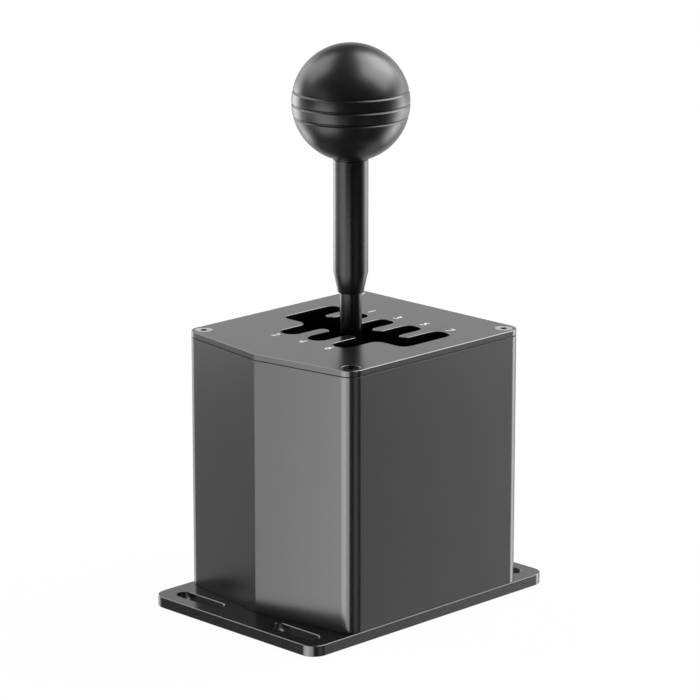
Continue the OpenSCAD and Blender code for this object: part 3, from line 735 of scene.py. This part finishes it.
leverSet = {
    "sides": 96,
    "sleeveWide": 15.3 * mm,
    "edge": 0.3 * mm,
    "taperLong": 9.5 * mm,
    "taperWide": 11.1 * mm,
    "lowEdge": 0.55 * mm,
    "rodBore": 9.64 * mm,
    "rodGrip": 45.0 * mm,
    "rodEdge": 0.6 * mm,
    "stud": 10.0 * mm,
    "studLong": 16.0 * mm,
    "near": 0.01 * mm,  # how far from its height an end may lie
    "level": 0.99,      # and how straight up or down it has to face
}


def selectEnd(piece, height, way):
    def isEnd(face):
        return abs(face.center.z - height) < leverSet["near"] and face.normal.z * way > leverSet["level"]

    selectFaces(piece, isEnd)


def makeSleeve():
    low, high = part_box("lever_sleeve")
    shoulder = high.z - leverSet["studLong"]
    start = low.z + leverSet["taperLong"]
    deselectAll()
    bpy.ops.mesh.primitive_cylinder_add(vertices=leverSet["sides"], radius=leverSet["sleeveWide"] / 2,
                                        depth=shoulder - start, location=(0, 0, (shoulder + start) / 2))
    sleeve = bpy.context.object
    sleeve.name = "sleeve"
    applyPlace(sleeve)
    startEdit(sleeve)
    selectEnd(sleeve, start, -1)
    taper = leverSet["taperWide"] / leverSet["sleeveWide"]
    bpy.ops.mesh.extrude_region()
    bpy.ops.transform.translate(value=(0, 0, -leverSet["taperLong"]))
    bpy.ops.transform.resize(value=(taper, taper, 1), center_override=(0, 0, low.z))
    bpy.ops.mesh.inset(thickness=(leverSet["taperWide"] - leverSet["rodBore"]) / 2)
    bpy.ops.mesh.extrude_region()
    bpy.ops.transform.translate(value=(0, 0, leverSet["rodGrip"]))
    selectEnd(sleeve, shoulder, 1)
    bpy.ops.mesh.inset(thickness=(leverSet["sleeveWide"] - leverSet["stud"]) / 2)
    bpy.ops.mesh.extrude_region()
    bpy.ops.transform.translate(value=(0, 0, leverSet["studLong"]))
    endEdit()
    outward(sleeve)
    breakEdges(sleeve, leverSet["lowEdge"], lambda place: place.z < low.z + hair
               and math.hypot(place.x, place.y) > (leverSet["taperWide"] - leverSet["near"]) / 2, segments=4)
    breakEdges(sleeve, leverSet["edge"], lambda place: place.z > shoulder - hair, segments=3)
    shade(sleeve)
    mount(sleeve, finishes["sleeve_black"], "lever_sleeve")


def makeRod():
    low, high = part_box("lever_rod")
    deselectAll()
    bpy.ops.mesh.primitive_cylinder_add(vertices=leverSet["sides"], radius=(high.x - low.x) / 2,
                                        depth=high.z - low.z, location=(0, 0, (low.z + high.z) / 2))
    rod = bpy.context.object
    rod.name = "rod"
    applyPlace(rod)
    breakEdges(rod, leverSet["rodEdge"], lambda place: True, segments=3)
    shade(rod)
    mount(rod, finishes["rod_black"], "lever_rod")


makeSleeve()
makeRod()
print("lever made")


# numbers printed on the gate plate, read from the driver's side

numberSet = {
    "tall": 4.5 * mm,
    "bold": 0.006,
    "thick": 0.01,  # as typed, before it is scaled
    "proud": 0.02 * mm,
    "farRow": 30.3 * mm,
    "nearRow": -28.8 * mm,
    "far": {"R": -33.0 * mm, "1": -17.0 * mm, "3": -0.7 * mm, "5": 15.8 * mm, "7": 31.3 * mm},
    "near": {"2": -17.0 * mm, "4": -0.7 * mm, "6": 15.8 * mm},
}


def makeNumber(sign, x, y):
    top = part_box("gate_plate")[1].z
    deselectAll()
    bpy.ops.object.text_add()
    number = bpy.context.object
    number.name = "number_" + sign
    number.data.body = sign
    number.data.offset = numberSet["bold"]
    number.data.extrude = numberSet["thick"]
    bpy.ops.object.convert(target="MESH")
    number = bpy.context.object
    xs = [v.co.x for v in number.data.vertices]
    ys = [v.co.y for v in number.data.vertices]
    size = numberSet["tall"] / (max(ys) - min(ys))
    number.scale = (size, size, numberSet["proud"] / numberSet["thick"])
    number.location = (x - size * (max(xs) + min(xs)) / 2, y - size * (max(ys) + min(ys)) / 2, top)
    applyPlace(number)
    outward(number)
    number.data.materials.clear()
    number.data.materials.append(extraFinishes["numbers"])
    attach(number, "base")


for row, y in (("far", numberSet["farRow"]), ("near", numberSet["nearRow"])):
    for sign, x in numberSet[row].items():
        makeNumber(sign, x, y)
print("numbers printed")


# springs: wire wound on a screw, with the two bodies that hold their ends listed

springSet = {
    "left_centring_spring": {"wire": 1.4 * mm, "turns": 6, "bodies": ("base", "cradle")},
    "right_centring_spring": {"wire": 1.4 * mm, "turns": 6, "bodies": ("base", "cradle")},
    "plunger_spring": {"wire": 0.6 * mm, "turns": 3, "bodies": ("plunger", "lever")},
}
coilSet = {"wireSides": 12, "steps": 32}


def makeSpring(node, look):
    low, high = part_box(node)
    middle = (low + high) / 2
    radius = (high.x - low.x - look["wire"]) / 2
    rise = high.z - low.z - look["wire"]
    deselectAll()
    bpy.ops.mesh.primitive_circle_add(vertices=coilSet["wireSides"], radius=look["wire"] / 2,
                                      fill_type="NOTHING", location=(radius, 0, 0),
                                      rotation=(math.pi / 2, 0, 0))
    spring = bpy.context.object
    spring.name = "shown_" + node
    applyPlace(spring)
    applyModifier(spring, "SCREW", axis="Z", angle=2 * math.pi, screw_offset=rise / look["turns"],
                  iterations=look["turns"], steps=coilSet["steps"], render_steps=coilSet["steps"],
                  use_merge_vertices=False)
    spring.location = (middle.x, middle.y, low.z + look["wire"] / 2)
    applyPlace(spring)
    startEdit(spring, "EDGE")
    bpy.ops.mesh.select_all(action="SELECT")
    bpy.ops.mesh.fill_holes(sides=0)
    endEdit()
    outward(spring)
    shade(spring)
    spring.data.materials.clear()
    spring.data.materials.append(finishes["spring_steel"])
    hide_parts(node)
    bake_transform(spring)


for node, look in springSet.items():
    makeSpring(node, look)
print("springs wound:", len(springSet))
